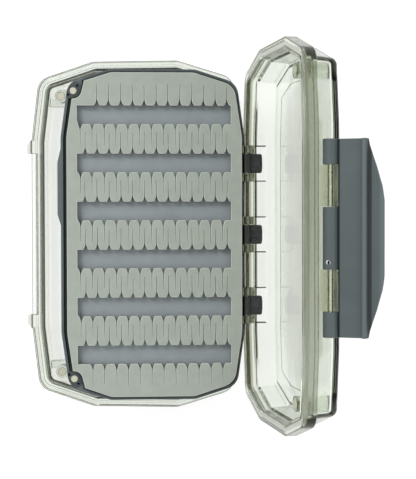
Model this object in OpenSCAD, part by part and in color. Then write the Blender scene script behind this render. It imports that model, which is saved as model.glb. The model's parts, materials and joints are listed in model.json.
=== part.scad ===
// Clear double-sided fly box, shown open: a waterproof base and lid on a pinned hinge, a swinging
// leaf with finger foam on both faces, and a snap latch across the long side.
// Every piece is drawn in the closed case first and is then turned about its own hinge.
// Origin: centre of the flat underside. +X is the hinge side, +Y the upper end, +Z up.

/* [Case outline] */
// Length of the rims, end to end
case_l = 152; // [140:1:170]
// Width of the rims, hinge side to latch side
case_w = 92.5; // [90:0.5:100]
// Width of the flat at each short end
end_flat = 37.2; // [30:0.4:44]
// Length of the straight part of each long side
side_flat = 83; // [81:1:90]
// How far each long side draws in beyond its straight part
side_taper = 3.2; // [2:0.2:5]
// Fall of the shoulders for each millimetre along them
shoulder_slope = 0.319; // [0.26:0.003:0.38]
// Radius of the four main corners
corner_r = 7; // [6.6:0.2:9]
// Radius where a flat end meets a shoulder
end_r = 5; // [3:0.5:8]

/* [Base] */
// Height of the base, underside to rim
base_h = 18; // [17:0.5:24]
// Height of the rim flange of the base
base_rim_h = 8; // [6:0.1:9]
// Height of that rim where the latch holds it
catch_h = 2.4; // [2.2:0.1:3]
// How far the rim's outer face draws in towards the seam
rim_draft = 0.25; // [0.1:0.05:0.35]
// Thickness of the floor
floor_t = 2; // [1.4:0.1:2.6]
// Distance from the rim edge in to the outer wall of the base
base_wall_in = 2.6; // [2.2:0.1:3]
// Width of the rims, edge to cavity
rim_w = 4.5; // [4.2:0.1:4.8]
// Height of the blocks in the free corners
block_h = 9.8; // [8:0.1:10.4]
// Height of the sealing bead on the rim of the base
bead_h = 0.5; // [0.3:0.1:0.6]
// Width of the sealing bead
bead_w = 0.8; // [0.6:0.1:1]

/* [Lid] */
// Height of the lid above the seam
lid_h = 14.6; // [13.6:0.2:20]
// Height of the rim flange of the lid
lid_rim_h = 5.4; // [5:0.1:5.8]
// Thickness of the lid's panel
panel_t = 2.1; // [1.6:0.1:2.6]
// Distance from the rim edge in to the outer wall of the lid
lid_wall_in = 3.2; // [2.9:0.1:3.4]
// Thickness of the lid's wall
lid_wall_t = 2.2; // [1.9:0.1:2.4]
// Angle at which the lid stands open
lid_open = 107.6; // [100:0.2:112]
// Gap between the closed rims
seam = 0.15; // [0.1:0.05:0.3]
// Depth of the window that is sunk into the panel
window_d = 0.4; // [0.2:0.1:0.6]
// Width of the border round the window
window_border = 14; // [11:0.5:18]

/* [Seal] */
// Distance from the rim edge to the middle of the seal
seal_in = 2.5; // [2.4:0.05:2.6]
// Width of the gasket
gasket_w = 1.6; // [1.4:0.1:1.8]
// Thickness of the gasket
gasket_t = 1.3; // [0.8:0.1:1.6]

/* [Main hinge] */
// Distance of the hinge axis outside the rims
hinge_out = 1.5; // [1.3:0.1:1.8]
// Height of the hinge axis above the rim of the base
hinge_up = 0.8; // [0.5:0.1:1]
// Radius of the hinge knuckles
knuckle_r = 2; // [1.8:0.1:2.2]
// Radius of the hinge pins
hinge_pin_r = 0.9; // [0.7:0.05:1]
// Distance of each hinge from the middle of the case
hinge_y = 30.5; // [26:0.5:33]
// Length of each hinge
hinge_l = 26; // [20:1:28]
// Length of the lid's knuckle in the middle of a hinge
hinge_mid_l = 12; // [9:0.5:14]

/* [Leaf] */
// Width of the leaf
leaf_w = 78.2; // [77:0.2:78.6]
// Clearance from the ends of the leaf to the cavity
leaf_gap = 1.1; // [0.8:0.1:1.4]
// Thickness of the leaf's frame
frame_t = 2.8; // [2.4:0.1:3]
// Width of the frame's rim
frame_w = 1.1; // [0.9:0.1:1.4]
// Thickness of the plate that carries the foam
plate_t = 1.2; // [1:0.1:1.6]
// Gap between the frame's rim and the foam
foam_gap = 0.6; // [0.4:0.1:0.8]
// Gap between them along the free side
foam_free_gap = 1.6; // [1:0.1:1.8]
// Gap between them along the hinge side, on the rear
rear_gap = 1.3; // [1.2:0.1:1.6]
// Tilt of the leaf when the lid is open
leaf_tilt = 8.4; // [4:0.2:9]
// How far the finger tab stands out
tab_out = 1.4; // [1:0.1:1.6]
// Length of the finger tab
tab_l = 22; // [16:1:26]
// Distance of the finger tab from the middle of the leaf
tab_y = 19.7; // [16:0.5:22]
// Depth of the groove in the plate round the front foam
groove_d = 0.6; // [0.4:0.1:0.7]

/* [Foam] */
// Thickness of the backing sheet
backing_t = 0.9; // [0.7:0.1:1.2]
// Height of the foam fingers above the backing
finger_h = 3.4; // [2.6:0.1:3.6]
// Number of rows of channels
channel_n = 6; // [4:1:6]
// Distance from one channel to the next
channel_pitch = 20.3; // [19:0.1:20.6]
// Width of a channel
channel_w = 7.8; // [6:0.2:9]
// Length of a channel
channel_l = 65; // [60:0.2:66]
// Fingers along one side of a channel
finger_n = 13; // [10:1:14]
// Depth of the notch between two fingers
notch_d = 2.2; // [1.4:0.2:2.6]
// Width of the notch at its mouth
notch_w = 2.4; // [1.6:0.2:3]

/* [Leaf hinge] */
// Distance of the leaf's pivot from the cavity wall
pivot_in = 1.85; // [1.8:0.05:2]
// Distance of the leaf's pivot outside the leaf's edge
pivot_out = 0.65; // [0.6:0.05:1]
// Height of the leaf's pivot above the middle of the leaf
pivot_up = 2; // [1.8:0.1:2.2]
// Radius of the barrel on a clip
barrel_r = 1.6; // [1.5:0.05:1.65]
// Radius of the leaf's pins
leaf_pin_r = 0.6; // [0.5:0.05:0.7]
// Distance from one clip to the next
clip_pitch = 30.4; // [28:0.2:33]
// Width of a clip and of the stop plate behind it
clip_w = 8.2; // [7:0.2:8.6]
// Height of a stop plate on the wall of the lid
stop_h = 7.1; // [6.4:0.1:7.6]
// Thickness of a stop plate
stop_t = 1.4; // [1.2:0.1:1.6]
// Width of the gap in the lid's ledge at each clip
clip_bay = 15; // [14.4:0.2:17]
// Thickness of the lid's ears beside each clip
ear_t = 3.4; // [2.4:0.1:3.6]
// Radius of those ears
ear_r = 1.5; // [1.3:0.05:1.55]

/* [Magnets] */
// Radius of the discs in the leaf's corners
magnet_r = 1.5; // [1.2:0.1:1.8]
// Thickness of the discs
magnet_t = 1.8; // [1.4:0.1:2.2]
// Distance of the discs from the free edge of the leaf
magnet_x = 5.4; // [5:0.1:5.6]
// Distance of the discs from the ends of the case
magnet_end = 14.8; // [14.4:0.2:15.6]
// Radius of the posts under and over the discs
post_r = 2.9; // [2.6:0.1:3.1]
// Thickness of the steel keepers in the posts
keeper_t = 1; // [0.8:0.1:1.4]

/* [Latch] */
// Length of the latch
latch_l = 71; // [69:1:74]
// Distance of the latch's pivot outside the rims
latch_out = 0.6; // [0.5:0.1:0.9]
// Height of the latch's pivot above the seam
latch_up = 9.2; // [8.8:0.1:9.6]
// Radius of the latch's barrels
latch_r = 2.75; // [2.6:0.05:2.9]
// Radius of the latch's pin
latch_pin_r = 0.9; // [0.7:0.05:1.1]
// Length of the barrels at the two ends
latch_end_l = 9.1; // [8:0.1:10]
// Length of the lid's two knuckles between the barrels
latch_knuckle_l = 15.2; // [14:0.2:16]
// Thickness of the latch's plate
latch_t = 1.9; // [1.6:0.1:2.2]
// How far the hook reaches under the rim of the base
hook_reach = 1.6; // [1.2:0.1:1.8]
// Height of the hook
hook_h = 1.6; // [1.3:0.1:2]
// Length of the finger tab below the hook
grip_l = 5.6; // [4.6:0.2:6.6]
// How far the finger tab flares outward
grip_flare = 2; // [1.4:0.2:2.8]
// Angle at which the latch stands open
latch_open = 150; // [130:1:156]
// Distance of the small hole in its middle barrel from the middle
drain_y = 8.6; // [4:0.2:12]
// Radius of that hole
drain_r = 0.7; // [0.5:0.1:0.8]
// How far the guards beside the latch stand out
guard_out = 1.8; // [1.4:0.1:2.4]
// Length of a guard along the rim
guard_l = 3.6; // [3:0.2:5]

/* [Hidden] */

run_fit = 0.05;      // radial clearance of a turning pin
side_gap = 0.2;      // clearance between a knuckle and its neighbour
swing_gap = 0.25;    // clearance round a turning knuckle
eps = 0.01;          // overshoot of a cut past a face
half_w = case_w / 2;
half_l = case_l / 2;
lid_z = base_h + seam;                         // underside of the closed lid's rim
top_z = base_h + lid_h;                        // outer face of the closed panel
cavity_x = half_w - rim_w;                     // cavity wall at the hinge side
hinge_axis = [half_w + hinge_out, base_h + hinge_up];
pivot = [cavity_x - pivot_in, base_h];         // the leaf's pivot in the closed case
leaf_right = pivot.x - pivot_out;
leaf_left = leaf_right - leaf_w;
leaf_z = pivot.y - pivot_up;                   // middle plane of the closed leaf
leaf_half_l = half_l - rim_w - leaf_gap;
latch_axis = [-half_w - latch_out, base_h + latch_up];
rim_z = base_h - base_rim_h;                   // underside of the base's rim
catch_z = base_h - catch_h;                    // its underside at the latch
backing_z = plate_t / 2 + backing_t;           // faces of the leaf's layers, from its middle plane
finger_z = backing_z + finger_h;
magnet_y = half_l - magnet_end;
magnets = [for (s = [1, -1]) [leaf_left + magnet_x, s * magnet_y]];

// Corner points of an outline, counter-clockwise from the hinge side
function corners(right, left, half_len, flat_half) =
    let (yr = half_len - shoulder_slope * (right - side_taper - flat_half),
         yl = half_len - shoulder_slope * (-left - side_taper - flat_half),
         s = side_flat / 2)
    [[right, -s], [right, s], [right - side_taper, yr], [flat_half, half_len],
     [-flat_half, half_len], [left + side_taper, yl], [left, s], [left, -s],
     [left + side_taper, -yl], [-flat_half, -half_len], [flat_half, -half_len],
     [right - side_taper, -yr]];
// Radius and number of facets at each of those points
corner_radii = [20, 20, corner_r, end_r, end_r, corner_r, 20, 20, corner_r, end_r, end_r, corner_r];
corner_steps = [2, 2, 6, 3, 3, 6, 2, 2, 6, 3, 3, 6];
case_corners = corners(half_w, -half_w, half_l, end_flat / 2);
leaf_flat = end_flat / 2 - rim_w * 0.1;
leaf_corners = corners(leaf_right, leaf_left, leaf_half_l, leaf_flat);
foam_corners = corners(leaf_right - frame_w - foam_gap / 3, leaf_left + frame_w + foam_free_gap,
    leaf_half_l - frame_w - foam_gap, leaf_flat - foam_gap);

// An outline drawn in by a distance, with its corners rounded
function outline(points, inset) =
    [for (i = [0:len(points) - 1])
        let (p = points[i], before = points[(i + len(points) - 1) % len(points)],
             after = points[(i + 1) % len(points)],
             a = atan2(p.y - before.y, p.x - before.x) - 90,
             turn = (atan2(after.y - p.y, after.x - p.x) - 90 - a + 720) % 360,
             r = max(0.4, corner_radii[i] - inset),
             n = [cos(a), sin(a)] + [cos(a + turn), sin(a + turn)],
             middle = p - n * (inset + r) / (1 + cos(turn)))
        for (k = [0:corner_steps[i]])
            middle + r * [cos(a + turn * k / corner_steps[i]), sin(a + turn * k / corner_steps[i])]];

// A solid through outlines at the given [height, inset] levels
module loft(points, levels) {
    n = len(outline(points, 0));
    last = len(levels) - 1;
    polyhedron(
        points = [for (level = levels) for (p = outline(points, level[1])) [p.x, p.y, level[0]]],
        faces = concat([[for (k = [0:n - 1]) k]],
            [for (j = [0:last - 1]) for (k = [0:n - 1])
                [j * n + k, (j + 1) * n + k, (j + 1) * n + (k + 1) % n, j * n + (k + 1) % n]],
            [[for (k = [n - 1:-1:0]) last * n + k]]));
}

// A plate between two heights with the outline drawn in
module slab(points, inset, z0, z1) {
    translate([0, 0, z0]) linear_extrude(z1 - z0) polygon(outline(points, inset));
}

// A closed ring between two insets and two heights
module ring(points, outer, inner, z0, z1) {
    translate([0, 0, z0]) linear_extrude(z1 - z0) difference() {
        polygon(outline(points, outer));
        polygon(outline(points, inner));
    }
}

// A rod along Y, centred on y, with its axis at [x, z]
module rod(axis, r, y, l) {
    translate([axis.x, y + l / 2, axis.y]) rotate([90, 0, 0]) cylinder(r = r, h = l, $fn = 48);
}

// A profile in the XZ plane carried along Y, centred on y
module along_y(y, l) {
    translate([0, y + l / 2, 0]) rotate([90, 0, 0]) linear_extrude(l) children();
}

// Places of a point of the closed lid, and of whole pieces, once the case stands open
function opened_point(p) =
    let (d = p - hinge_axis, c = cos(lid_open), s = sin(lid_open))
    hinge_axis + [d.x * c + d.y * s, -d.x * s + d.y * c];
module turned(axis, angle) {
    translate([axis.x, 0, axis.y]) rotate([0, angle, 0]) translate([-axis.x, 0, -axis.y]) children();
}
module on_lid() { turned(hinge_axis, lid_open) children(); }
module on_latch() { on_lid() turned(latch_axis, latch_open) children(); }
module on_leaf() {
    p = opened_point(pivot);
    translate([p.x, 0, p.y]) rotate([0, leaf_tilt, 0]) translate([-pivot.x, 0, leaf_z - pivot.y]) children();
}

// ---- base ----

outer_knuckle_l = (hinge_l - hinge_mid_l) / 2 - side_gap;
module outer_knuckles(r, extra) {
    for (y = [-hinge_y, hinge_y]) for (s = [-1, 1])
        rod(hinge_axis, r, y + s * (hinge_l - outer_knuckle_l) / 2, outer_knuckle_l + 2 * extra);
}
module middle_knuckles(r, extra) {
    for (y = [-hinge_y, hinge_y]) rod(hinge_axis, r, y, hinge_mid_l + 2 * extra);
}
module hinge_bores() {
    for (y = [-hinge_y, hinge_y]) rod(hinge_axis, hinge_pin_r + run_fit, y, hinge_l + 2);
}

module base_tub() {
    wall = base_wall_in;
    difference() {
        loft(case_corners, [[0, wall + 3.4], [0.5, wall + 2.2], [1.6, wall + 1], [3.4, wall + 0.4],
            [rim_z, wall], [rim_z, 0.4], [rim_z + 0.4, 0], [base_h - 0.3, rim_draft],
            [base_h, rim_draft + 0.3]]);
        loft(case_corners, [[floor_t, rim_w + 2.2], [floor_t + 0.6, rim_w + 1], [floor_t + 2, rim_w + 0.3],
            [base_h + eps, rim_w]]);
    }
}

// A guard beside the closed latch: square towards it, sloped away from it
guard_y = latch_l / 2 + 0.35;
module latch_guard() {
    translate([0, 0, rim_z]) linear_extrude(base_rim_h - 0.4)
        polygon([[-half_w + 1, guard_y], [-half_w - guard_out, guard_y], [-half_w - guard_out, guard_y + guard_l],
            [-half_w, guard_y + guard_l + 2.2], [-half_w + 1, guard_y + guard_l + 2.2]]);
}
// The rim is cut back under the catch, for the latch's hook
module hook_recess() {
    translate([-half_w - 1, -guard_y, rim_z - 1])
        cube([1 + hook_reach + 0.35, 2 * guard_y, catch_z - rim_z + 1]);
}
// Stepped blocks in the free corners carry the posts and run out to the wall
block_r = post_r + 0.1;
block_at = [0.8, -1];                          // middle of a block, from its post
module corner_blocks() intersection() {
    slab(case_corners, rim_w - 0.5, floor_t - 0.5, block_h);
    for (s = [0, 1]) mirror([0, s, 0]) translate([magnets[0].x, magnets[0].y, 0]) {
        linear_extrude(block_h) {
            translate(block_at) circle(r = block_r, $fn = 40);
            translate([-9, block_at.y - block_r]) square([9 + block_at.x, block_r]);
            circle(r = post_r, $fn = 40);
        }
        linear_extrude(block_h - 1.3) intersection() {
            translate(block_at) circle(r = block_r + 1.6, $fn = 48);
            translate([-9, block_at.y - block_r]) square([18, 12]);
        }
    }
}

// Posts stand from z0 to z1 in the two free corners, each with a pocket for its keeper
module posts(z0, z1) {
    for (p = magnets) translate([p.x, p.y, z0]) cylinder(r = post_r, h = z1 - z0, $fn = 40);
}
module keepers(z0, r, t) {
    for (p = magnets) translate([p.x, p.y, z0]) cylinder(r = r, h = t, $fn = 40);
}
base_post_z = leaf_z - frame_t / 2 - 0.4;
lid_post_z = leaf_z + frame_t / 2 + 0.4;
keeper_r = magnet_r + 0.3;

module base_shell() color([0.86, 0.88, 0.84, 0.5]) {
    difference() {
        union() {
            base_tub();
            ring(case_corners, seal_in - bead_w / 2, seal_in + bead_w / 2, base_h - 0.4, base_h + bead_h);
            corner_blocks();
            posts(block_h - 0.5, base_post_z);
            outer_knuckles(knuckle_r, 0);
            for (y = [-hinge_y, hinge_y]) for (s = [-1, 1])
                along_y(y + s * (hinge_l - outer_knuckle_l) / 2, outer_knuckle_l)
                    polygon([[half_w - 1, base_h - 4.8], hinge_axis - [0.2, knuckle_r],
                        hinge_axis + [0, -0.3], [half_w - 1, base_h - 0.3]]);
            for (s = [0, 1]) mirror([0, s, 0]) latch_guard();
        }
        middle_knuckles(knuckle_r + swing_gap, side_gap);
        hinge_bores();
        hook_recess();
        keepers(base_post_z - keeper_t, keeper_r + run_fit, keeper_t + eps);
    }
}

module base_keepers() color("silver") keepers(base_post_z - keeper_t, keeper_r, keeper_t);

module hinge_pin(side) color("lightsteelblue") rod(hinge_axis, hinge_pin_r, side * hinge_y, hinge_l - 0.4);

// ---- lid, drawn closed ----

latch_middle_l = latch_l - 2 * latch_end_l - 2 * latch_knuckle_l;
latch_knuckle_y = (latch_middle_l + latch_knuckle_l) / 2;
stop_z = lid_z + 0.15;
peg_r = 0.8;
peg_l = stop_t - 0.5;
peg_z = [stop_z + stop_h * 0.45, stop_z + stop_h * 0.78];

module lid_tray() {
    wall = lid_wall_in;
    inner = wall + lid_wall_t;
    rim_top = base_h + lid_rim_h;
    step_z = rim_top - 1.2;
    under = top_z - panel_t;
    difference() {
        loft(case_corners, [[lid_z, 0.3], [lid_z + 0.3, 0], [rim_top - 0.4, 0], [rim_top, 0.4],
            [rim_top, wall], [top_z - 1.8, wall + 0.8], [top_z - 0.7, wall + 1.4], [top_z, wall + 2.4]]);
        loft(case_corners, [[lid_z - eps, rim_w], [step_z, rim_w], [step_z + 0.8, inner],
            [under - 1.1, inner + 0.4], [under - 0.3, inner + 1], [under, inner + 2.2]]);
        slab(case_corners, window_border, top_z - window_d, top_z + eps);
    }
}

// The ledge round the lid stops at each clip, where the wall runs straight down
module clip_bays() {
    for (k = [-1:1]) translate([cavity_x - 4, k * clip_pitch - clip_bay / 2, lid_z])
        cube([4, clip_bay, stop_h + 2.2]);
}
// Ears on that wall hold the leaf's pins on both sides of each clip
module clip_ears() {
    for (k = [-1:1]) for (s = [-1, 1])
        along_y(k * clip_pitch + s * (clip_w / 2 + side_gap + ear_t / 2), ear_t) {
            translate(pivot) circle(r = ear_r, $fn = 40);
            polygon([pivot, [cavity_x + 0.5, lid_z], [cavity_x + 0.5, lid_z + 4.8],
                pivot + ear_r * [cos(100), sin(100)]]);
        }
}
module leaf_pin_bores() {
    for (k = [-1:1]) rod(pivot, leaf_pin_r + run_fit, k * clip_pitch, clip_w + 2 * (side_gap + ear_t) + 0.4);
}
module stop_pegs(k, r, l) {
    for (z = peg_z) translate([cavity_x + 0.5, k * clip_pitch, z])
        rotate([0, -90, 0]) cylinder(r = r, h = 0.5 + l, $fn = 32);
}

module latch_web(y) {
    along_y(y, latch_knuckle_l - 2 * side_gap)
        polygon([[-half_w + lid_wall_in + 1.2, latch_axis.y - latch_r], [latch_axis.x, latch_axis.y - latch_r],
            [latch_axis.x, latch_axis.y + latch_r - 0.3], [-half_w + lid_wall_in + 1.4, latch_axis.y + latch_r - 0.3]]);
}

module lid_shell() color([0.72, 0.75, 0.66, 0.5]) on_lid() {
    difference() {
        union() {
            difference() {
                lid_tray();
                clip_bays();
            }
            intersection() {
                posts(lid_post_z, top_z - panel_t + 0.5);
                slab(case_corners, rim_w, 0, top_z);
            }
            clip_ears();
            for (k = [-1:1]) stop_pegs(k, peg_r, peg_l);
            middle_knuckles(knuckle_r, 0);
            for (y = [-hinge_y, hinge_y]) along_y(y, hinge_mid_l)
                polygon([[half_w - 1, lid_z + 0.3], hinge_axis + [-0.4, 0.2], hinge_axis + [knuckle_r - 0.1, 0.2],
                    hinge_axis + [knuckle_r - 0.6, 1.4], [half_w - 1, base_h + lid_rim_h - 0.6]]);
            for (s = [-1, 1]) {
                latch_web(s * latch_knuckle_y);
                rod(latch_axis, latch_r - 0.15, s * latch_knuckle_y, latch_knuckle_l - 2 * side_gap);
            }
        }
        ring(case_corners, seal_in - gasket_w / 2 - 0.1, seal_in + gasket_w / 2 + 0.1,
            lid_z - eps, base_h + bead_h + 0.1 + gasket_t);
        outer_knuckles(knuckle_r + swing_gap, side_gap);
        hinge_bores();
        leaf_pin_bores();
        rod(latch_axis, latch_pin_r + run_fit, 0, latch_l);
        keepers(lid_post_z - eps, keeper_r + run_fit, keeper_t + eps);
    }
}

module lid_gasket() color("whitesmoke") on_lid()
    ring(case_corners, seal_in - gasket_w / 2, seal_in + gasket_w / 2, base_h + bead_h + 0.1,
        base_h + bead_h + 0.1 + gasket_t);

module lid_keepers() color("silver") on_lid() keepers(lid_post_z, keeper_r, keeper_t);

// ---- stop plates and pins of the leaf's hinge ----

module stop_plate(k) color([0.13, 0.15, 0.15]) on_lid() difference() {
    y = k * clip_pitch;
    e = clip_w / 2;
    top = stop_z + stop_h;
    lip = top - stop_h * 0.24;
    back = cavity_x - eps;
    face = cavity_x - stop_t;
    union() {
        intersection() {
            along_y(y, clip_w) polygon([[back, stop_z], [back, top], [face + 0.5, top], [face, top - 0.5],
                [face, lip], [face + 0.3, lip - 0.2], [face + 0.3, stop_z]]);
            translate([face, y, 0]) rotate([90, 0, 90]) linear_extrude(stop_t)
                polygon([[-e, stop_z], [e, stop_z], [e, top - 0.9], [e - 0.6, top - 0.25], [e / 3, top],
                    [-e / 3, top], [-e + 0.6, top - 0.25], [-e, top - 0.9]]);
        }
        for (s = [-1, 1]) along_y(y + s * clip_w * 0.31, 1.1)
            polygon([[face + 0.5, stop_z + 1.5], [face + 0.5, lip], [face, lip - 0.1], [face, stop_z + 1.7]]);
    }
    rod(pivot, barrel_r + swing_gap, y, clip_w + 2);
    stop_pegs(k, peg_r + run_fit, peg_l + 0.1);
}

module leaf_pin(k) color("silver") on_lid()
    rod(pivot, leaf_pin_r, k * clip_pitch, clip_w + 2 * (side_gap + ear_t) - 0.2);

// ---- leaf, drawn flat about its middle plane ----

pivot_on_leaf = [pivot.x, pivot_up];

module leaf_outline(inset) {
    polygon(outline(leaf_corners, inset));
}
// Pads in the two free corners that carry the magnets
module corner_pads(grow) {
    for (s = [0, 1]) mirror([0, s, 0]) translate([leaf_left + magnet_x, magnet_y]) hull() {
        translate([0.1, 0]) circle(r = post_r + 0.1 + grow, $fn = 40);
        translate([2.7, 3.2]) circle(r = 1.3 + grow, $fn = 32);
        translate([-3, -2.2]) circle(r = 1.2 + grow, $fn = 32);
    }
}
module finger_tab() {
    y0 = tab_y - tab_l / 2;
    y1 = tab_y + tab_l / 2;
    polygon([[leaf_left + frame_w, y0 - 4.5], [leaf_left, y0 - 4.5], [leaf_left - tab_out, y0],
        [leaf_left - tab_out, y1], [leaf_left, y1 + 6], [leaf_left + frame_w, y1 + 6]]);
}

// Seats in the frame's rim, where each clip grips the edge of the plate
module clip_seats(gap) {
    for (k = [-1:1]) translate([leaf_right - frame_w - eps, k * clip_pitch - clip_w / 2 - gap])
        square([frame_w + 1, clip_w + 2 * gap]);
}

module leaf_frame() color([0.36, 0.4, 0.4]) on_leaf() difference() {
    union() {
        translate([0, 0, -frame_t / 2]) linear_extrude(frame_t) {
            difference() {
                leaf_outline(0);
                leaf_outline(frame_w);
                clip_seats(run_fit);
            }
            intersection() {
                corner_pads(0);
                leaf_outline(0);
            }
            finger_tab();
        }
        translate([0, 0, -plate_t / 2]) linear_extrude(plate_t) leaf_outline(frame_w / 2);
    }
    translate([0, 0, plate_t / 2 - groove_d]) linear_extrude(groove_d + eps) difference() {
        leaf_outline(frame_w);
        foam_outline(1);
        corner_pads(0);
    }
    // Room for the lid's ears
    for (k = [-1:1]) rod(pivot_on_leaf, ear_r + swing_gap, k * clip_pitch, clip_w + 2 * (2 * side_gap + ear_t));
    for (p = magnets) {
        translate([p.x, p.y, frame_t / 2 - magnet_t]) cylinder(r = magnet_r + run_fit, h = magnet_t + 1, $fn = 40);
        for (d = [[1.75, 2.1], [-2.1, -1.75]])
            translate([p.x + d.x, p.y + sign(p.y) * d.y, -0.6]) cylinder(r = 0.55, h = frame_t, $fn = 20);
    }
}

module leaf_clip(k) color([0.13, 0.15, 0.15]) on_leaf() difference() {
    y = k * clip_pitch;
    union() {
        rod(pivot_on_leaf, barrel_r, y, clip_w);
        along_y(y, clip_w) polygon([[leaf_right - frame_w + run_fit, -frame_t / 2], [leaf_right, -frame_t / 2],
            pivot_on_leaf - [0.5, barrel_r + 0.3], pivot_on_leaf - [0, barrel_r], pivot_on_leaf,
            pivot_on_leaf + barrel_r * [cos(150), sin(150)], [leaf_right - frame_w + run_fit, frame_t / 2]]);
    }
    rod(pivot_on_leaf, leaf_pin_r + run_fit, y, clip_w + 2);
    translate([leaf_right - frame_w, y - clip_w / 2 - 1, -plate_t / 2 - run_fit])
        cube([frame_w / 2 + run_fit, clip_w + 2, plate_t + 2 * run_fit]);
}

module leaf_magnet(i) color("wheat") on_leaf()
    translate([magnets[i].x, magnets[i].y, frame_t / 2 - magnet_t]) cylinder(r = magnet_r, h = magnet_t, $fn = 40);

// The foam's outline, clear of the frame and of the corner pads. The rear stays clear of the open rims
// too, and is cut off straight beside the pads, for the posts.
module foam_outline(side) difference() {
    polygon(outline(foam_corners, 0));
    corner_pads(foam_gap);
    if (side < 0) {
        translate([leaf_right - frame_w - rear_gap, -half_l]) square([9, case_l]);
        for (s = [0, 1]) mirror([0, s, 0]) translate([leaf_left + magnet_x, magnet_y]) rotate(45)
            translate([-case_w / 2, -post_r - foam_gap - 0.2]) square([case_w, case_w]);
    }
}

// One side of a channel, notched between the fingers from the given one on; shift moves the notches
function notched(y, side, shift, first) =
    let (pitch = channel_l / finger_n)
    [for (i = [first:finger_n - 1])
        let (x = -channel_l / 2 + pitch * (i + shift))
        each [[x - notch_w / 2, y], [x - notch_w / 6, y + side * notch_d], [x + notch_w / 6, y + side * notch_d],
            [x + notch_w / 2, y]]];
module channel(first_lower, first_upper) {
    top = channel_w / 2;
    end = channel_l / 2;
    upper = notched(top, 1, 0.68, first_upper);
    polygon(concat([[-end, -top]], notched(-top, -1, 0.32, first_lower), [[end, -top], [end, top]],
        [for (i = [len(upper) - 1:-1:0]) upper[i]], [[-end, top]]));
}
// The outermost rows start one finger further in
module channels() {
    for (i = [0:channel_n - 1])
        translate([(leaf_left + leaf_right) / 2 + foam_free_gap / 3, (i - (channel_n - 1) / 2) * channel_pitch])
            channel(i == 0 ? 1 : 0, i == channel_n - 1 ? 1 : 0);
}

module foam_backing(side) color([0.56, 0.6, 0.61]) on_leaf()
    translate([0, 0, side > 0 ? plate_t / 2 : -backing_z]) linear_extrude(backing_t) foam_outline(side);

module foam_fingers(side) color([0.66, 0.69, 0.65]) on_leaf()
    translate([0, 0, side > 0 ? backing_z : -finger_z]) linear_extrude(finger_h) difference() {
        foam_outline(side);
        channels();
    }

// ---- latch, drawn closed ----

plate_x = -half_w - 0.35;                     // inner face of the closed latch's plate
hook_z = catch_z - 0.15;                      // top of the hook, just under the rim of the base
tip_z = hook_z - hook_h - grip_l;

module latch_profile() {
    back = plate_x - latch_t;
    neck = latch_axis.y - latch_r;
    base = hook_z - hook_h;
    polygon([[latch_axis.x, latch_axis.y], [latch_axis.x - latch_r, latch_axis.y],
        [back + 0.8, neck + 0.65], [back + 0.1, neck + 0.1], [back, neck],
        [back, hook_z + 0.8], [back - 0.45, hook_z + 0.3], [back - 0.65, hook_z - 0.5], [back - 0.45, base + 0.3],
        [back + 0.05, base - 0.1], [back - 0.2, base - grip_l * 0.4],
        [back - grip_flare * 0.55, base - grip_l * 0.75], [back - grip_flare, tip_z + 0.4],
        [back - grip_flare + 0.3, tip_z], [back - grip_flare + 1.2, tip_z],
        [back - grip_flare + 1.7, tip_z + 0.5], [plate_x - grip_flare * 0.8, base - grip_l * 0.55],
        [plate_x - 1.1, base - 0.5], [plate_x - 0.3, base],
        [plate_x + hook_reach + 0.05, base], [plate_x + hook_reach + 0.35, base + 0.4],
        [plate_x + hook_reach + 0.35, hook_z - 0.2], [plate_x + hook_reach + 0.15, hook_z], [plate_x, hook_z],
        [plate_x, neck - 0.5], [plate_x - 0.5, neck - 0.4], [plate_x - 0.5, neck + 0.2],
        [latch_axis.x, neck + 0.2]]);
}
// The latch seen from outside the case: square down to the hook, then a shallow crescent
module latch_face() {
    e = latch_l / 2;
    shoulder = hook_z - hook_h;
    polygon([[-e, latch_axis.y + latch_r], [e, latch_axis.y + latch_r], [e, shoulder - 0.2],
        [e * 0.93, shoulder - grip_l * 0.12], [e * 0.72, shoulder - grip_l * 0.55],
        [e * 0.52, shoulder - grip_l * 0.88], [e * 0.38, tip_z], [-e * 0.38, tip_z],
        [-e * 0.52, shoulder - grip_l * 0.88], [-e * 0.72, shoulder - grip_l * 0.55],
        [-e * 0.93, shoulder - grip_l * 0.12], [-e, shoulder - 0.2]]);
}

module latch() color([0.35, 0.39, 0.4]) on_latch() difference() {
    union() {
        intersection() {
            along_y(0, latch_l) latch_profile();
            translate([latch_axis.x - 20, 0, 0]) rotate([90, 0, 90]) linear_extrude(40) latch_face();
        }
        rod(latch_axis, latch_r, 0, latch_l);
    }
    for (s = [-1, 1]) {
        rod(latch_axis, latch_r + swing_gap, s * latch_knuckle_y, latch_knuckle_l);
        translate([latch_axis.x + 0.5, s * latch_knuckle_y - latch_knuckle_l / 2, latch_axis.y - latch_r - swing_gap])
            cube([latch_r + 1, latch_knuckle_l, latch_r + 2]);
    }
    rod(latch_axis, latch_pin_r + run_fit, 0, latch_l + 2);
    translate([latch_axis.x, -drain_y, latch_axis.y]) rotate([0, 90, 0]) cylinder(r = drain_r, h = 5, $fn = 24);
}

module latch_pin() color("silver") on_lid() rod(latch_axis, latch_pin_r, 0, latch_l - 1);

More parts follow.
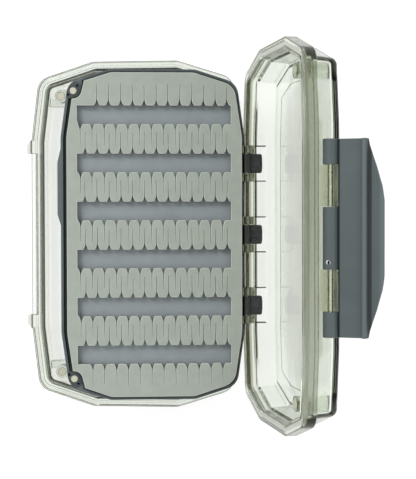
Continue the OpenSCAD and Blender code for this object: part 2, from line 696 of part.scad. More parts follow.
base_shell();
lid_shell();
lid_gasket();
base_keepers();
lid_keepers();
hinge_pin(1);  // hinge_pin_upper
hinge_pin(-1);  // hinge_pin_lower
stop_plate(1);  // stop_plate_upper
stop_plate(0);  // stop_plate_middle
stop_plate(-1);  // stop_plate_lower
leaf_clip(1);  // leaf_clip_upper
leaf_clip(0);  // leaf_clip_middle
leaf_clip(-1);  // leaf_clip_lower
leaf_pin(1);  // leaf_pin_upper
leaf_pin(0);  // leaf_pin_middle
leaf_pin(-1);  // leaf_pin_lower
leaf_frame();
foam_backing(1);  // foam_backing_front
foam_backing(-1);  // foam_backing_rear
foam_fingers(1);  // foam_front
foam_fingers(-1);  // foam_rear
leaf_magnet(0);  // leaf_magnet_upper
leaf_magnet(1);  // leaf_magnet_lower
latch();
latch_pin();
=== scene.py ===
"""Fly box, shown open from above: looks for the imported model, on a pale studio floor."""

import json
import math
import random

import bmesh
import bpy
from mathutils import Matrix, Vector, geometry


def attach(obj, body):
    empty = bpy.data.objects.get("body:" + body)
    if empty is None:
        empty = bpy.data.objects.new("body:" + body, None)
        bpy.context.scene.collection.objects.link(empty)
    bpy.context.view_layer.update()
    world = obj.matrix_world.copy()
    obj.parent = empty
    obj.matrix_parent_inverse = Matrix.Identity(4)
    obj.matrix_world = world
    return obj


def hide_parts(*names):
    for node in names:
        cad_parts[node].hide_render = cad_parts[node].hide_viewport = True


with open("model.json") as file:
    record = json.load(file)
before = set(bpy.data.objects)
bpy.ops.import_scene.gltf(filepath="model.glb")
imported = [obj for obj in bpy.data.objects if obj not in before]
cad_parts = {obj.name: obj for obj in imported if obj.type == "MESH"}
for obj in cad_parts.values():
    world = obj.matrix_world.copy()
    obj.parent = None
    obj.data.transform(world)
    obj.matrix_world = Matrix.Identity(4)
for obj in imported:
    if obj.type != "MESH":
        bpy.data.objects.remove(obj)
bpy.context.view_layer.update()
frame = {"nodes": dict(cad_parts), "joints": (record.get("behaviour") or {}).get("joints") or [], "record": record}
nodes = frame["nodes"]
random.seed(7)

MM = 0.001
TINY = 1e-6
WHITE = (1, 1, 1, 1)

# The closed case, as the part's source has it: +X towards the hinge, +Y along it, +Z up
ACROSS, ALONG, UP = Vector((1, 0, 0)), Vector((0, 1, 0)), Vector((0, 0, 1))
LID_OPEN, LATCH_OPEN = math.radians(107.6), math.radians(150)
LATCH_AXIS_Z = 27.35                                 # millimetres, height of the latch's axis
CLIP_PITCH = 30.4                                    # millimetres, from clip to clip


def joint_at(name):
    return Vector(next(j for j in frame["joints"] if j["name"] == name)["pos_m"])


def closed_axes(angle):
    """Where the closed case's +X and +Z point on a piece that has turned by that angle."""
    return Vector((math.cos(angle), 0, -math.sin(angle))), Vector((math.sin(angle), 0, math.cos(angle)))


def opened(x, z):
    """The place, on the open lid, of a point of the closed case that is given in millimetres."""
    hinge = joint_at("lid_hinge")
    right, up = closed_axes(LID_OPEN)
    return Vector((hinge.x, 0, hinge.z)) + right * (x * MM - hinge.x) + up * (z * MM - hinge.z)


# ---------------------------------------------------------------- camera, light and stage

# The photograph's view, almost straight down, fitted to the case's outline
PHOTO_WIDTH, FOCAL_LENGTH = 416, 1185.455            # pixels
SENSOR_WIDTH = 36.0                                  # millimetres
CLIP_START = 0.02                                    # metres
CAMERA_AT = (0.079993, 0.008565, 0.532681)           # metres
CAMERA_TURN = (-1.2162, 5.3060, -0.1303)             # degrees

# Lamps: name, place, width in metres, watts
LAMPS = (("key", (-0.42, 0.60, 0.95), 0.55, 6.6), ("fill", (0.75, -0.35, 0.80), 0.7, 2.4))
LAMPS_AIM = Vector((0.03, 0, 0.03))
WORLD_LIGHT = 0.60
# Seen in glass and metal, by the height of a direction: a white sweep, the dim room above it, the overhead diffuser
SWEEP_TOP, ROOM_LOW, ROOM_HIGH, DIFFUSER = 0.16, 0.20, 0.32, 0.62
ROOM_COLOUR = (0.5, 0.5, 0.5, 1)
FLOOR_COLOUR = (0.32, 0.32, 0.32, 1)
FLOOR_ROUGH, FLOOR_GLOW = 0.9, 0.80
FLOOR_REACH, FLOOR_DROP = 3, 0.0002                  # metres


def make_camera():
    data = bpy.data.cameras.new("camera")
    data.sensor_fit = "HORIZONTAL"
    data.sensor_width = SENSOR_WIDTH
    data.lens = FOCAL_LENGTH / PHOTO_WIDTH * SENSOR_WIDTH
    data.clip_start = CLIP_START
    camera = bpy.data.objects.new("camera", data)
    camera.location = CAMERA_AT
    camera.rotation_euler = [math.radians(a) for a in CAMERA_TURN]
    bpy.context.scene.collection.objects.link(camera)
    bpy.context.scene.camera = camera


def make_lamp(name, location, size, watts):
    data = bpy.data.lights.new(name, "AREA")
    data.shape = "DISK"
    data.size = size
    data.energy = watts
    light = bpy.data.objects.new(name, data)
    light.location = location
    light.rotation_euler = (LAMPS_AIM - Vector(location)).to_track_quat("-Z", "Y").to_euler()
    bpy.context.scene.collection.objects.link(light)


def largest(tree, first, *others):
    """The largest of some values."""
    for other in others:
        node = tree.nodes.new("ShaderNodeMath")
        node.operation = "MAXIMUM"
        tree.links.new(first, node.inputs[0])
        tree.links.new(other, node.inputs[1])
        first = node.outputs[0]
    return first


def seen_directly(tree):
    """1 for rays that come from the camera or through glass or off metal, 0 for the light that falls on things."""
    rays = tree.nodes.new("ShaderNodeLightPath").outputs
    return largest(tree, rays["Is Camera Ray"], rays["Is Glossy Ray"], rays["Is Transmission Ray"])


def make_world():
    """White to the camera and an even light for things, with a room for glass and metal to show."""
    world = bpy.data.worlds.new("studio")
    world.use_nodes = True
    tree = world.node_tree
    background = tree.nodes["Background"]
    background.inputs["Color"].default_value = WHITE

    direction = tree.nodes.new("ShaderNodeSeparateXYZ")
    tree.links.new(tree.nodes.new("ShaderNodeTexCoord").outputs["Generated"], direction.inputs[0])
    room = tree.nodes.new("ShaderNodeValToRGB")
    levels = room.color_ramp.elements
    for level, height in zip(levels, (SWEEP_TOP, DIFFUSER)):
        level.position = height
        level.color = WHITE
    for height in (ROOM_LOW, ROOM_HIGH):
        levels.new(height).color = ROOM_COLOUR
    tree.links.new(direction.outputs["Z"], room.inputs["Fac"])

    is_camera = tree.nodes.new("ShaderNodeLightPath").outputs["Is Camera Ray"]
    strength = tree.nodes.new("ShaderNodeMix")
    strength.inputs["A"].default_value = WORLD_LIGHT
    tree.links.new(seen_directly(tree), strength.inputs["Factor"])
    tree.links.new(largest(tree, is_camera, room.outputs["Color"]), strength.inputs["B"])
    tree.links.new(strength.outputs["Result"], background.inputs["Strength"])
    bpy.context.scene.world = world


def make_floor():
    """A floor that is white to the camera, and takes the shadow of the box."""
    mesh = bpy.data.meshes.new("floor")
    corners = [(x * FLOOR_REACH, y * FLOOR_REACH, 0) for x, y in ((-1, -1), (1, -1), (1, 1), (-1, 1))]
    mesh.from_pydata(corners, [], [(0, 1, 2, 3)])
    floor = bpy.data.objects.new("floor", mesh)
    floor.location.z = -FLOOR_DROP
    bpy.context.scene.collection.objects.link(floor)

    material = bpy.data.materials.new("floor")
    material.use_nodes = True
    tree = material.node_tree
    shader = tree.nodes["Principled BSDF"]
    shader.inputs["Base Color"].default_value = FLOOR_COLOUR
    shader.inputs["Roughness"].default_value = FLOOR_ROUGH
    shader.inputs["Emission Color"].default_value = WHITE
    glow = tree.nodes.new("ShaderNodeMath")
    glow.operation = "MULTIPLY"
    glow.inputs[1].default_value = FLOOR_GLOW
    tree.links.new(seen_directly(tree), glow.inputs[0])
    tree.links.new(glow.outputs[0], shader.inputs["Emission Strength"])
    mesh.materials.append(material)


# ---------------------------------------------------------------- materials

COLOUR = {
    "clear_case": (0.985, 0.997, 0.985),
    "smoke_lid": (0.970, 0.987, 0.970),
    "gasket": (0.64, 0.65, 0.57),
    "steel": (0.60, 0.61, 0.60),
    "black_plastic": (0.021, 0.025, 0.025),
    "grey_plastic": (0.110, 0.134, 0.137),
    "latch_plastic": (0.082, 0.103, 0.106),
    "foam_sheet": (0.290, 0.325, 0.338),
    "foam": (0.376, 0.412, 0.366),
    "magnet": (0.52, 0.51, 0.40),
}
# What is laid over those colours in places: mostly painted shade and painted highlights, and painted light at the
# latch's hole; foam_pore is the foam's own pores, magnet_seat and magnet_edge are darker places on the frame and the
# magnet
TINT = {
    "base_wall_shade": (0.90, 0.905, 0.86),
    "base_flange_shade": (0.42, 0.43, 0.37),
    "base_outline_shade": (0.06, 0.063, 0.048),
    "base_shoulder_shade": (0.035, 0.039, 0.028),
    "rim": (0.53, 0.55, 0.47),
    "rim_line_shade": (0.10, 0.10, 0.075),
    "rim_band_shade": (0.33, 0.33, 0.24),
    "ledge": (0.13, 0.135, 0.10),
    "bay_shade": (0.34, 0.34, 0.24),
    "bay_side_shade": (0.03, 0.03, 0.024),
    "bay_line_shade": (0.015, 0.016, 0.012),
    "knuckle": (0.38, 0.38, 0.29),
    "knuckle_shine": (0.99, 0.99, 0.90),
    "knuckle_back": (0.42, 0.43, 0.33),
    "free_round": (0.19, 0.195, 0.198),
    "peephole": (0.95, 0.97, 0.97),
    "leaf_crevice_shade": (0.008, 0.010, 0.010),
    "magnet_seat": (0.035, 0.043, 0.045),
    "magnet_edge": (0.16, 0.155, 0.125),
    "foam_pore": (0.25, 0.28, 0.24),
    "foam_edge_highlight": (0.55, 0.59, 0.54),
    "foam_slit_shade": (0.12, 0.133, 0.12),
}
PLASTIC_IOR, QUIET_IOR = 1.47, 1.06
# Sockets of a colour Mix node, which has several of each name
MIX_A, MIX_B, MIX_RESULT = 6, 7, 2


def times(colour, factor):
    return [min(1, c * factor) for c in colour]


class Finish:
    """The material of a slot; its colour, roughness and surface vary with procedural masks in object space."""

    def __init__(self, slot, rough, metal=0.0):
        self.slot, self.colour = slot, COLOUR[slot]
        self.material = bpy.data.materials.new(slot + "_look")
        self.material.use_nodes = True
        self.tree = self.material.node_tree
        self.shader = self.tree.nodes["Principled BSDF"]
        self.give({"Base Color": (*self.colour, 1), "Roughness": rough, "Metallic": metal})
        self.relief = None
        self.where = self.add("TexCoord").outputs["Object"]

    def give(self, values):
        """Sets inputs of the shader."""
        for name, value in values.items():
            self.shader.inputs[name].default_value = value
        return self

    def add(self, kind, **values):
        """A new node, with its properties and inputs set by name."""
        node = self.tree.nodes.new("ShaderNode" + kind)
        for key, value in values.items():
            if hasattr(node, key):
                setattr(node, key, value)
            else:
                node.inputs[key.replace("_", " ")].default_value = value
        return node

    def link(self, a, b):
        self.tree.links.new(a, b)

    def wired(self, node, *values):
        """The node, its inputs linked or set in order."""
        for socket, value in zip(node.inputs, values):
            if isinstance(value, bpy.types.NodeSocket):
                self.link(value, socket)
            else:
                socket.default_value = value
        return node

    def maths(self, operation, *values):
        return self.wired(self.add("Math", operation=operation), *values).outputs["Value"]

    def vectors(self, operation, *values):
        node = self.wired(self.add("VectorMath", operation=operation), *values)
        return node.outputs["Value" if operation in ("DOT_PRODUCT", "LENGTH") else "Vector"]

    # Patterns

    def noise(self, scale, detail=3.0, distortion=0.0, stretch=None):
        where = self.where
        if stretch:
            where = self.wired(self.add("Mapping", Scale=stretch), where).outputs["Vector"]
        node = self.add("TexNoise", Scale=scale, Detail=detail, Roughness=0.55, Distortion=distortion)
        self.link(where, node.inputs["Vector"])
        return node.outputs["Fac"]

    def cells(self, scale):
        node = self.add("TexVoronoi", Scale=scale)
        self.link(self.where, node.inputs["Vector"])
        return node.outputs["Distance"]

    # Measures of where a point is, in metres

    def offset(self, origin):
        return self.vectors("SUBTRACT", self.where, origin)

    def along(self, axis, origin=Vector()):
        """How far a point is along an axis of the piece, from an origin."""
        return self.vectors("DOT_PRODUCT", self.offset(origin), axis)

    def distance(self, origin, spread=(1, 1, 1)):
        """How far a point is from an origin, or from an axis where spread is 0 along it."""
        return self.vectors("LENGTH", self.vectors("MULTIPLY", self.offset(origin), spread))

    def from_nearest(self, length, pitch):
        """How far a length is from the nearest multiple of the pitch."""
        nearest = self.maths("SNAP", self.maths("ADD", length, pitch / 2), pitch)
        return self.maths("ABSOLUTE", self.maths("SUBTRACT", length, nearest))

    # Masks, from 0 to 1

    def ramp(self, value, low, high, to_min=0.0, to_max=1.0):
        node = self.add("MapRange", From_Min=low, From_Max=high, To_Min=to_min, To_Max=to_max)
        self.link(value, node.inputs["Value"])
        return node.outputs["Result"]

    def beyond(self, length, start, full):
        """0 before the first place and 1 beyond the second, which are in millimetres and in either order."""
        return self.ramp(length, start * MM, full * MM)

    def between(self, length, low, high, soft=0.2):
        """1 between two places, 0 further than soft outside them, all in millimetres."""
        return self.both(self.beyond(length, low - soft, low), self.beyond(length, high + soft, high))

    def both(self, first, *others):
        for other in others:
            first = self.maths("MULTIPLY", first, other)
        return first

    def either(self, *masks):
        return largest(self.tree, *masks)

    def other_than(self, mask):
        return self.ramp(mask, 0.0, 1.0, 1.0, 0.0)

    def facing(self, axis):
        """1 on faces that look along an axis either way, 0 on those that stand along it."""
        own = self.add("TexCoord").outputs["Normal"]
        return self.ramp(self.maths("ABSOLUTE", self.vectors("DOT_PRODUCT", own, axis)), 0.35, 0.9)

    def inward(self, centre):
        """1 on faces that look towards a point."""
        own = self.add("TexCoord").outputs["Normal"]
        return self.beyond(self.vectors("DOT_PRODUCT", own, self.offset(centre)), 0, -4)

    def edges(self, radius):
        """1 along hard edges, from how far a rounded normal leaves the face's own."""
        rounded = self.add("Bevel", Radius=radius, samples=8).outputs["Normal"]
        own = self.add("NewGeometry").outputs["True Normal"]
        return self.ramp(self.vectors("DOT_PRODUCT", rounded, own), 0.99, 0.85)

    # Colour

    def mixed(self, value, before, after):
        """Makes the colour run from one to another as value runs from 0 to 1."""
        node = self.add("Mix", data_type="RGBA")
        if isinstance(before, bpy.types.NodeSocket):
            self.link(before, node.inputs[MIX_A])
        else:
            node.inputs[MIX_A].default_value = (*before, 1)
        node.inputs[MIX_B].default_value = (*after, 1)
        self.link(value, node.inputs["Factor"])
        self.link(node.outputs[MIX_RESULT], self.shader.inputs["Base Color"])
        return self

    def tone(self, value, dark, light):
        """Varies the colour between multiples of itself."""
        return self.mixed(value, times(self.colour, dark), times(self.colour, light))

    def overlay(self, value, colour):
        """Lays another colour over the present one where value is 1."""
        links = self.shader.inputs["Base Color"].links
        return self.mixed(value, links[0].from_socket if links else self.colour, colour)

    def paint_crevice_shade(self, reach, colour, start=0.9, full=0.45):
        """Paints shade into narrow gaps and inner corners, as ambient occlusion finds them."""
        near = self.add("AmbientOcclusion", Distance=reach, samples=12)
        return self.overlay(self.ramp(near.outputs["AO"], start, full), colour)

    # Surface

    def rough(self, value, low, high):
        self.link(self.ramp(value, 0.25, 0.75, low, high), self.shader.inputs["Roughness"])
        return self

    def bump(self, value, depth, strength):
        """Adds relief of that depth in metres."""
        node = self.add("Bump", Strength=strength, Distance=depth)
        self.link(value, node.inputs["Height"])
        if self.relief is not None:
            self.link(self.relief, node.inputs["Normal"])
        self.relief = node.outputs["Normal"]
        self.link(self.relief, self.shader.inputs["Normal"])
        return self

    def soften(self, radius):
        """Rounds the look of hard edges."""
        self.relief = self.add("Bevel", Radius=radius, samples=6).outputs["Normal"]
        self.link(self.relief, self.shader.inputs["Normal"])
        return self

    def glass(self, absorb):
        """Makes it a clear plastic; absorb is what each metre of it takes from red, green and blue."""
        self.give({"Transmission Weight": 1.0, "IOR": PLASTIC_IOR})
        density = max(absorb) / 0.9
        volume = self.add("VolumeAbsorption", Density=density, Color=(*(1 - a / density for a in absorb), 1))
        self.link(volume.outputs["Volume"], self.tree.nodes["Material Output"].inputs["Volume"])
        return self

    def quiet(self, mask):
        """Lets light straight through a glass where the mask is 1, with hardly a reflection."""
        self.link(self.ramp(mask, 0.0, 1.0, PLASTIC_IOR, QUIET_IOR), self.shader.inputs["IOR"])
        return self


def clear_case():
    """Clear plastic, with painted shade: upright faces a little darker, the thick flange under the base's rim olive, a
    dark outline and a dark shoulder inside the flange.
    """
    f = Finish("clear_case", rough=0.03).glass(absorb=(30, 26, 35))
    height, off_middle = f.along(UP), f.maths("ABSOLUTE", f.along(ACROSS))
    upright = f.other_than(f.facing(UP))
    inner = f.inward(UP * (15 * MM))
    flange = f.between(height, 12.1, 18.3, soft=0.5)
    # Not on the latch guards and the hinge's knuckles, which stand further out
    outline = f.both(f.other_than(inner), f.between(height, 17.1, 17.95, soft=0.03), f.beyond(off_middle, 46.8, 46.5))
    shoulder = f.both(upright, flange, inner)
    # Painted shade: upright faces a little darker, the flange olive, the outline and the shoulder inside the flange
    # dark
    f.overlay(upright, TINT["base_wall_shade"])
    f.overlay(f.both(upright, flange), TINT["base_flange_shade"])
    f.overlay(outline, TINT["base_outline_shade"])
    f.overlay(shoulder, TINT["base_shoulder_shade"])
    f.quiet(shoulder)
    f.soften(0.3 * MM)
    f.bump(f.noise(18, detail=1), depth=0.02 * MM, strength=0.15)
    f.rough(upright, 0.03, 0.16)
    return f


def smoke_lid():
    """Faintly smoked clear plastic, with painted shade making the rim, the ledge inside it and the bays for the clips
    olive and dark, and a painted highlight on the latch's knuckles.
    """
    f = Finish("smoke_lid", rough=0.04).glass(absorb=(40, 33, 52))
    right, up = closed_axes(LID_OPEN)
    height, out, length = f.along(up, opened(0, 0)), f.along(right, opened(0, 0)), f.along(ALONG)
    off_middle, from_bay = f.maths("ABSOLUTE", length), f.from_nearest(length, CLIP_PITCH * MM)
    level, inner = f.facing(up), f.inward(opened(0, 20))
    upright, outer = f.other_than(level), f.other_than(inner)
    hinge_side = f.both(f.between(length, -44, 44), f.beyond(out, 30, 32))

    # Painted shade on the rim, outside and inside
    by_hinge = f.both(f.beyond(out, 40, 42), f.beyond(height, 20.3, 20.6))
    rim = f.both(upright, outer, f.between(height, 17, 24.1), f.other_than(by_hinge))
    rim_line_shade = f.both(upright, inner, f.between(height, 19.9, 20.5, soft=0.1))
    rim_band_shade = f.both(upright, inner, f.between(height, 18.0, 20.7, soft=0.1), f.beyond(out, 22, 26),
                      f.between(length, -64, 64, soft=3))
    f.overlay(rim, TINT["rim"]).overlay(rim_line_shade, TINT["rim_line_shade"]).overlay(rim_band_shade, TINT["rim_band_shade"])

    # Painted shade on the ledge, and on the bays that are cut out of it
    ledge = f.both(f.either(inner, level), f.between(height, 22.2, 23.8, soft=0.1))
    slope_shade = f.both(ledge, inner, f.between(height, 22.5, 23.1, soft=0.1), f.beyond(out, -36, -34),
                   f.ramp(off_middle, 52 * MM, 58 * MM, 1.0, 0.12))
    bay_shade = f.both(hinge_side, f.beyond(from_bay, 7.8, 7.6), f.between(out, 35.5, 41.9), f.between(height, 15, 27.5))
    bay_line_shade = f.both(inner, hinge_side, f.between(height, 22.8, 27.0), f.between(from_bay, 7.3, 7.7, soft=0.1))
    f.overlay(slope_shade, TINT["ledge"])
    f.overlay(f.both(bay_shade, f.beyond(height, 22.6, 22.4)), TINT["bay_shade"])
    f.overlay(f.both(bay_shade, f.facing(ALONG)), TINT["bay_side_shade"])
    f.overlay(bay_line_shade, TINT["bay_line_shade"])

    # Painted shade and a painted highlight on the latch's knuckles, and painted shade on the round above the free
    # side's wall
    knuckles = f.both(f.beyond(out, -42.5, -43.0), f.beyond(height, 23.8, 24.1))
    f.overlay(knuckles, TINT["knuckle"])
    f.overlay(f.both(knuckles, f.beyond(height, 25.6, 25.8)), TINT["knuckle_shine"])
    f.overlay(f.both(knuckles, f.beyond(height, 27.2, 27.5)), TINT["knuckle_back"])
    free_round = f.both(upright, outer, f.other_than(knuckles), f.beyond(out, -30, -36),
                        f.beyond(height, 30.0, 30.4), f.between(length, -58, 58, soft=4))
    f.overlay(free_round, TINT["free_round"])

    # The ledge's long sides, and the steps behind the clips and round the window
    sides = f.both(ledge, f.beyond(off_middle, 54.0, 52.5))
    steps = f.either(f.both(inner, hinge_side, f.between(height, 27.2, 27.9)),
                     f.between(height, 32.25, 32.55, soft=0.03))
    f.quiet(f.either(sides, knuckles, free_round, steps))
    f.soften(0.4 * MM)
    f.bump(f.noise(16, detail=1), depth=0.03 * MM, strength=0.15)
    f.rough(upright, 0.03, 0.2)
    return f


def moulded(slot, rough, wear_and_highlight_reach=0.25 * MM, reach=3 * MM):
    """Opaque moulded plastic: spark-eroded grain, faint flow marks, edges painted a little paler as a highlight and a
    little wear, painted shade in gaps and inner corners.
    """
    f = Finish(slot, rough)
    flow = f.noise(60, detail=4, distortion=0.6)
    f.tone(f.ramp(flow, 0.3, 0.7), dark=0.93, light=1.07)
    # Edges painted paler, as a highlight and a little wear; gaps and inner corners painted dark as shade
    f.overlay(f.edges(wear_and_highlight_reach), [c * 1.9 + 0.03 for c in f.colour])
    f.paint_crevice_shade(reach, times(f.colour, 0.1))
    f.soften(0.25 * MM)
    f.bump(f.noise(5200, detail=2), depth=0.03 * MM, strength=0.5)
    f.bump(f.noise(420, detail=3), depth=0.03 * MM, strength=0.35)
    f.rough(f.noise(900, detail=4), rough - 0.07, rough + 0.07)
    return f.give({"Specular IOR Level": 0.35})


def grey_plastic():
    """The leaf's frame, with painted shade making the gap round its pads black, and a darker seat round each magnet.
    """
    f = moulded("grey_plastic", 0.5)
    # Painted shade: the gap round the pads darkened to black
    f.paint_crevice_shade(1 * MM, TINT["leaf_crevice_shade"], 0.92, 0.6)
    for side in ("upper", "lower"):
        magnet = nodes["leaf_magnet_" + side].data.vertices
        middle = sum((v.co for v in magnet), Vector()) / len(magnet)
        f.overlay(f.ramp(f.distance(middle), 4.6 * MM, 4.0 * MM, 0.0, 0.75), TINT["magnet_seat"])
    return f


def latch_plastic():
    """The latch's moulded plastic, with painted shade in the grooves at its barrel and behind its ridge, painted
    highlights on its ridge and the end of its finger grip, and painted light in its hole's mouth.
    """
    f = moulded("latch_plastic", 0.44, reach=1.4 * MM)
    pin, up = joint_at("latch_hinge"), closed_axes(LID_OPEN + LATCH_OPEN)[1]
    height = f.along(up, pin - up * (LATCH_AXIS_Z * MM))
    tab_highlight = f.ramp(height, 10.4 * MM, 8.8 * MM, 0.0, 0.6)
    barrel_groove_shade = f.between(f.distance(pin, spread=(1, 0, 1)), 3.1, 3.4)
    ridge, ridge_groove_shade = f.between(height, 14.3, 16.0, soft=0.3), f.between(height, 12.8, 13.8, soft=0.3)
    # Painted highlights on the end of the finger grip and on the ridge; painted shade in the grooves at the barrel and
    # behind the ridge
    f.overlay(tab_highlight, times(f.colour, 1.9)).overlay(barrel_groove_shade, times(f.colour, 0.3))
    f.overlay(ridge, times(f.colour, 1.3)).overlay(ridge_groove_shade, times(f.colour, 0.3))

    # Painted light: the mouth of the hole in the middle barrel is painted white; the hole slants between the lid's +X
    # and +Z
    peephole = opened(-48.9, 25.8) - ALONG * (8.5 * MM)
    right, up = closed_axes(LID_OPEN)
    across, down = f.along((right - up).normalized(), peephole), f.along(ALONG, peephole)
    radius = f.maths("SQRT", f.maths("ADD", f.maths("MULTIPLY", across, across), f.maths("MULTIPLY", down, down)))
    mouth = f.both(f.beyond(radius, 0.8, 0.7), f.beyond(f.distance(peephole), 3.0, 2.8))
    return f.overlay(mouth, TINT["peephole"])


def make_finishes():
    gasket = Finish("gasket", 0.35)
    gasket.tone(gasket.noise(90), dark=0.9, light=1.1)
    gasket.bump(gasket.noise(2600), depth=0.02 * MM, strength=0.4)
    gasket.give({"Subsurface Weight": 0.1, "Subsurface Scale": 1.5 * MM, "Subsurface Radius": (0.6, 0.6, 0.5),
                 "Specular IOR Level": 0.9})

    steel = Finish("steel", 0.28, metal=1.0)
    steel.tone(steel.noise(500, stretch=(1, 0.05, 1)), dark=0.9, light=1.08)
    steel.bump(steel.noise(6000, stretch=(1, 0.02, 1)), depth=0.006 * MM, strength=0.5)
    steel.rough(steel.noise(900), 0.2, 0.36)

    sheet = Finish("foam_sheet", 0.88)
    sheet.tone(sheet.ramp(sheet.noise(150, detail=4), 0.3, 0.7), dark=0.95, light=1.05)
    sheet.bump(sheet.cells(2600), depth=0.08 * MM, strength=0.5)

    foam = Finish("foam", 0.92)
    pores, highlight = foam.cells(2300), foam.add("Attribute", attribute_name="highlight").outputs["Fac"]
    foam.tone(foam.ramp(foam.noise(240, detail=5), 0.3, 0.7), dark=0.95, light=1.05)
    foam.overlay(foam.ramp(pores, 0.05, 0.0, 0.0, 0.25), TINT["foam_pore"])
    # Painted highlight along the foam's softened edges; painted shade in its slits and notches
    foam.overlay(foam.ramp(highlight, 0.0, 1.0, 0.0, 0.75), TINT["foam_edge_highlight"])
    foam.paint_crevice_shade(2 * MM, TINT["foam_slit_shade"], 0.5, 0.15)
    foam.bump(foam.noise(330, detail=2), depth=0.2 * MM, strength=0.3)
    foam.bump(pores, depth=0.12 * MM, strength=0.6)
    foam.give({"Sheen Weight": 0.15, "Sheen Roughness": 0.5})

    magnet = Finish("magnet", 0.45, metal=0.2)
    magnet.tone(magnet.ramp(magnet.cells(2600), 0.1, 0.6), dark=0.75, light=1.25)
    magnet.overlay(magnet.edges(0.5 * MM), TINT["magnet_edge"])
    magnet.bump(magnet.noise(3000), depth=0.03 * MM, strength=0.6)
    magnet.rough(magnet.noise(1500), 0.3, 0.5)

    black = moulded("black_plastic", 0.36, wear_and_highlight_reach=0.5 * MM)
    made = (clear_case(), smoke_lid(), gasket, steel, black, grey_plastic(), latch_plastic(), sheet, foam, magnet)
    return {f.slot: f.material for f in made}


# ---------------------------------------------------------------- the leaf's foam

# Millimetres, as in the part's source. Heights are from the leaf's middle plane, on both faces
PIVOT_FLAT, TILT = (39.9, 2.0), 8.4                  # the leaf's hinge on its flat drawing; degrees
PLATE_Z, SHEET_Z, FOAM_Z = 0.6, 1.5, 4.9
CHANNELS, CHANNEL_PITCH, CHANNEL_W, CHANNEL_L, CHANNEL_X = 6, 20.3, 7.8, 65.0, 0.683
FINGERS, NOTCH = 13, 2.4
# Half of a notch between two fingers, from its mouth to its tip: (half width, depth)
NOTCH_SIDE = [(1.40, 0.0), (1.14, 0.05), (0.95, 0.2), (0.76, 0.55), (0.5, 1.1), (0.27, 1.75), (0.09, 2.4)]

# Millimetres, in the looks only
SHEET_GAP = 0.01                                     # between the plate and the sheet
FIRST_NOTCH = {-1: 0.28, 1: 0.68}                    # in finger pitches, on a channel's lower and upper side
CUT_CORNER = 1.6                                     # off the left end of every channel but the lowest
OFF_PLACE, OFF_DEPTH, WIDTHS = 0.12, 0.2, (0.86, 1.08)   # how uneven notches are; widths are multiples
SLIT_LENGTHS, SLIT_HALF_W, SLIT_LEAN = (6.2, 7.0), 0.022, 0.15
SLIT_SHORTEST, SLIT_TO_EDGE = 1.5, 1.6
# Weight of the painted edge highlight at the slits
SLIT_HIGHLIGHT = 0.2
# The softened edge of a sheet: (height above its face, inset, weight of the painted highlight)
SOFT_EDGE = ((-0.3, 0.0, 0.3), (-0.14, 0.02, 1.0), (-0.03, 0.1, 1.0), (0.0, 0.22, 0.9), (0.0, 0.38, 0.0))
SHARPEST = 0.6                                       # cosine that limits how far a mitre reaches
FLAT_WITHIN, SHORTEST_EDGE = 0.03, 0.3               # for reading an outline off a CAD face


def on_leaf():
    """Places a piece that is drawn flat about the leaf's middle plane."""
    return (Matrix.Translation(joint_at("leaf_hinge")) @ Matrix.Rotation(math.radians(TILT), 4, "Y")
            @ Matrix.Translation((-PIVOT_FLAT[0] * MM, 0, -PIVOT_FLAT[1] * MM)))


def around(loop):
    """Each item of a loop with the next."""
    return zip(loop, loop[1:] + loop[:1])


def edge_of(node, height):
    """The outer edge, counter-clockwise and in millimetres, of a CAD node's flat face at that height on the leaf."""
    back = on_leaf().inverted()
    mesh = nodes[node].data
    flat = [back @ v.co / MM for v in mesh.vertices]
    after = {}
    for face in mesh.polygons:
        if all(abs(flat[i].z - height) < FLAT_WITHIN for i in face.vertices):
            for a, b in around([(round(flat[i].x, 2), round(flat[i].y, 2)) for i in face.vertices]):
                after.setdefault(a, set()).add(b)
    after = {a: [b for b in ends if a not in after.get(b, ())] for a, ends in after.items()}
    start = min(a for a, ends in after.items() if ends)
    loop, here = [start], after[start][0]
    while here != start:
        loop.append(here)
        here = after[here][0]
    points = [Vector(p) for p in loop]
    points = [p for i, p in enumerate(points) if (p - points[i - 1]).length > SHORTEST_EDGE]
    area = sum(a.x * b.y - b.x * a.y for a, b in around(points))
    return points if area > 0 else points[::-1]


def room_beside(edge, x, y, side):
    """The distance from a point to the foam's outer edge, up or down the leaf."""
    hits = [a.y + (b.y - a.y) * (x - a.x) / (b.x - a.x) for a, b in around(edge) if (a.x - x) * (b.x - x) < 0]
    return min(side * (h - y) for h in hits if side * (h - y) > 0)


def fingered(edge, row_y, side, first):
    """One long side of a channel from left to right, as (point, weight of the painted edge highlight): finger ends,
    and a slit from each notch.
    """
    y, pitch = side * CHANNEL_W / 2, CHANNEL_L / FINGERS
    loop = []
    for i in range(first, FINGERS):
        x = -CHANNEL_L / 2 + pitch * (i + FIRST_NOTCH[side]) + random.uniform(-OFF_PLACE, OFF_PLACE)
        deep = NOTCH + random.uniform(-OFF_DEPTH, OFF_DEPTH)
        wide = [random.uniform(*WIDTHS) for _ in range(2)]
        tip = y + side * deep
        room = room_beside(edge, x + CHANNEL_X, tip + row_y, side)
        slit = min(random.uniform(*SLIT_LENGTHS), room - SLIT_TO_EDGE)
        lean = random.uniform(-SLIT_LEAN, SLIT_LEAN)
        before, behind = ([(Vector((x + way * w * stretch, y + side * d * deep / NOTCH)), 1.0) for w, d in NOTCH_SIDE]
                          for way, stretch in zip((-1, 1), wide))
        if before[0][0].x < -CHANNEL_L / 2:
            before = before[-1:]
        loop += before
        if slit > SLIT_SHORTEST:
            loop += [(Vector((x + lean + w, tip + side * slit)), SLIT_HIGHLIGHT) for w in (-SLIT_HALF_W, SLIT_HALF_W)]
        loop += behind[::-1]
    return loop


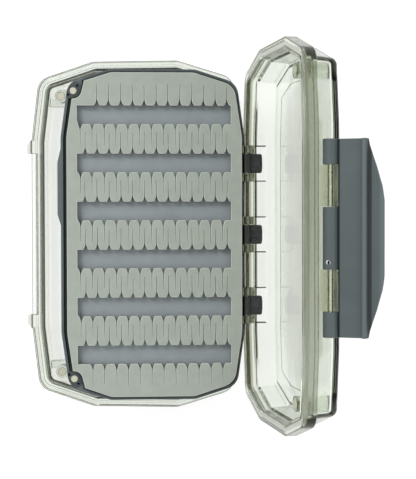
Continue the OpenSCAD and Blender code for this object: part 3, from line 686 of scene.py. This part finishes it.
def channel_edges(edge):
    """The channels' outlines, clockwise, from the lowest to the highest."""
    holes = []
    top, end = CHANNEL_W / 2, CHANNEL_L / 2
    for i in range(CHANNELS):
        y = (i - (CHANNELS - 1) / 2) * CHANNEL_PITCH
        lower = fingered(edge, y, -1, first=int(i == 0))
        upper = fingered(edge, y, 1, first=int(i == CHANNELS - 1))
        cut = 0.0 if i == 0 else CUT_CORNER
        left, right = [(Vector((-end, cut - top)), 1.0)], [(Vector((end, -top)), 1.0), (Vector((end, top)), 1.0)]
        loop = left + lower + right + upper[::-1] + [(Vector((-end, top)), 1.0)]
        holes.append([(p + Vector((CHANNEL_X, y)), highlight) for p, highlight in loop][::-1])
    return holes


def drawn_in(loop, distance):
    """The loop moved to its left by a distance; corners are mitred."""
    moved = []
    for i, p in enumerate(loop):
        a = (p - loop[i - 1]).normalized()
        b = (loop[(i + 1) % len(loop)] - p).normalized()
        left = Vector((-b.y, b.x))
        n = Vector((-a.y - b.y, a.x + b.x))
        n = n.normalized() if n.length > TINY else left
        moved.append(p + n * distance / max(SHARPEST, n.dot(left)))
    return moved


def filled(loops):
    """Triangles, as indices into the loops' points in order, that fill the first loop less the others."""
    points = [p for loop in loops for p in loop]
    edges, base = [], 0
    for loop in loops:
        edges += [(base + k, base + (k + 1) % len(loop)) for k in range(len(loop))]
        base += len(loop)
    verts, _, faces, origins, _, _ = geometry.delaunay_2d_cdt(points, edges, [], 0, TINY)
    # The loops' edges by each millimetre of height that they reach, to find those beside a triangle
    rows = {}
    for loop in loops:
        for a, b in around(loop):
            for row in range(int(min(a.y, b.y) // 1), int(max(a.y, b.y) // 1) + 1):
                rows.setdefault(row, []).append((a, b))
    kept = []
    for face in faces:
        middle = sum((verts[i] for i in face), Vector((0, 0))) / 3
        crossings = sum(1 for a, b in rows.get(int(middle.y // 1), ())
                        if (a.y > middle.y) != (b.y > middle.y)
                        and middle.x < a.x + (b.x - a.x) * (middle.y - a.y) / (b.y - a.y))
        if crossings % 2 and all(origins[i] for i in face):
            kept.append([origins[i][0] for i in face])
    return kept


def slab(name, loops, z0, z1, side):
    """A sheet of foam between two heights, with softened edges on the face that shows, painted paler as a highlight.
    """
    mesh = bmesh.new()
    paleness = mesh.verts.layers.float.new("highlight")
    rings = []
    for z, inset, highlight in [(z0, 0.0, 0.0)] + [(z1 + above, inset, highlight) for above, inset, highlight in SOFT_EDGE]:
        ring = []
        for loop in loops:
            shape = drawn_in([p for p, _ in loop], inset)
            ring.append([mesh.verts.new((p.x * MM, p.y * MM, side * z * MM)) for p in shape])
            for v, (_, weight) in zip(ring[-1], loop):
                v[paleness] = highlight * weight
        rings.append(ring)
    for low, high in zip(rings, rings[1:]):
        for a, b in zip(low, high):
            for k in range(len(a)):
                n = (k + 1) % len(a)
                mesh.faces.new((a[k], a[n], b[n], b[k])).smooth = True
    for ring in (rings[0], rings[-1]):
        flat = [v for loop in ring for v in loop]
        for tri in filled([[v.co.xy / MM for v in loop] for loop in ring]):
            if len(set(tri)) == 3:
                mesh.faces.new([flat[i] for i in tri])
    bmesh.ops.recalc_face_normals(mesh, faces=mesh.faces)
    data = bpy.data.meshes.new(name)
    mesh.to_mesh(data)
    mesh.free()
    data.transform(on_leaf())
    piece = bpy.data.objects.new(name, data)
    bpy.context.scene.collection.objects.link(piece)
    return piece


def make_foam(finishes):
    """The leaf's sheets and finger foam, as soft pieces in place of the CAD's."""
    for side, face in ((1, "front"), (-1, "rear")):
        edge = edge_of("foam_backing_" + face, side * SHEET_Z)
        rim = [(p, 1.0) for p in edge]
        sheet = slab("foam_sheet_" + face, [rim], PLATE_Z + SHEET_GAP, SHEET_Z, side)
        sheet.data.materials.append(finishes["foam_sheet"])
        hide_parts("foam_backing_" + face)
        fingers = slab("foam_fingers_" + face, [rim] + channel_edges(edge), SHEET_Z, FOAM_Z, side)
        fingers.data.materials.append(finishes["foam"])
        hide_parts("foam_" + face)
        for piece in (sheet, fingers):
            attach(piece, "leaf")


# ---------------------------------------------------------------- the whole

def dress_nodes(finishes):
    """Gives every CAD node the detailed material of its slot."""
    for part in frame["record"]["subparts"]:
        for slot in nodes[part["node"]].material_slots:
            slot.material = finishes[part["material_slot"]]


bpy.context.scene.view_settings.view_transform = "Standard"
make_camera()
make_world()
make_floor()
for lamp in LAMPS:
    make_lamp(*lamp)
FINISHES = make_finishes()
dress_nodes(FINISHES)
make_foam(FINISHES)
